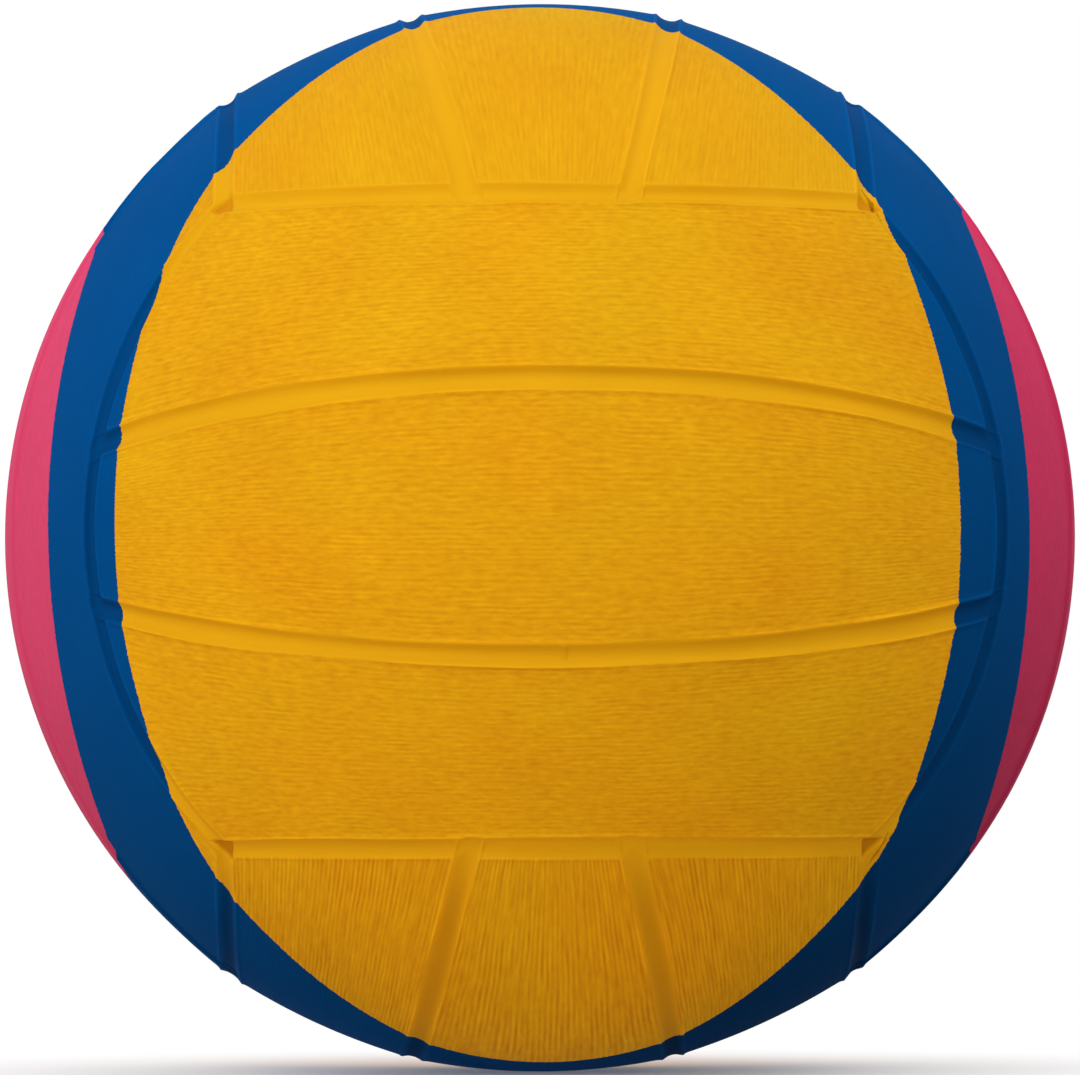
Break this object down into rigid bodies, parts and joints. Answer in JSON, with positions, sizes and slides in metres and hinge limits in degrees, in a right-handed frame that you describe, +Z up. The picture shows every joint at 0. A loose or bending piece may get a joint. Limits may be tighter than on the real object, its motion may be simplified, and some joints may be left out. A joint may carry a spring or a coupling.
{
  "type": "water polo ball",
  "caption": "Inflatable water polo ball: nylon-wound butyl bladder under a grooved, ribbed rubber cover in yellow, blue and pink fields, with a plug-in needle valve.",
  "frame": {"origin": "centre of the ball", "axes": "+Z up, +X to the viewer's right, +Y away from the viewer along the valve's axis, out through the rear panel"},
  "size_m": [0.1878, 0.1877, 0.1878],
  "materials": {
    "yellow_rubber": "matte, finely ribbed moulded rubber",
    "blue_rubber": "matte, finely ribbed moulded rubber",
    "pink_rubber": "matte, finely ribbed moulded rubber",
    "carcass_rubber": "dull calendered rubber",
    "nylon_thread": "wound nylon thread in latex",
    "butyl_rubber": "smooth butyl",
    "valve_rubber": "smooth moulded rubber"
  },
  "bodies": {
    "ball": {"cover_front_yellow": "yellow_rubber", "cover_rear_yellow": "yellow_rubber", "cover_left_pink": "pink_rubber", "cover_right_pink": "pink_rubber", "cover_left_blue": "blue_rubber", "cover_right_blue": "blue_rubber", "carcass": "carcass_rubber", "winding": "nylon_thread", "bladder": "butyl_rubber", "valve_patch": "butyl_rubber", "valve_seat": "valve_rubber"},
    "valve_plug": {"valve_core": "valve_rubber"}
  },
  "joints": [
    {"name": "valve_core_pull", "type": "slide", "parent": "ball", "child": "valve_plug", "axis": [0, 1, 0], "range_m": [0, 0.02]}
  ]
}
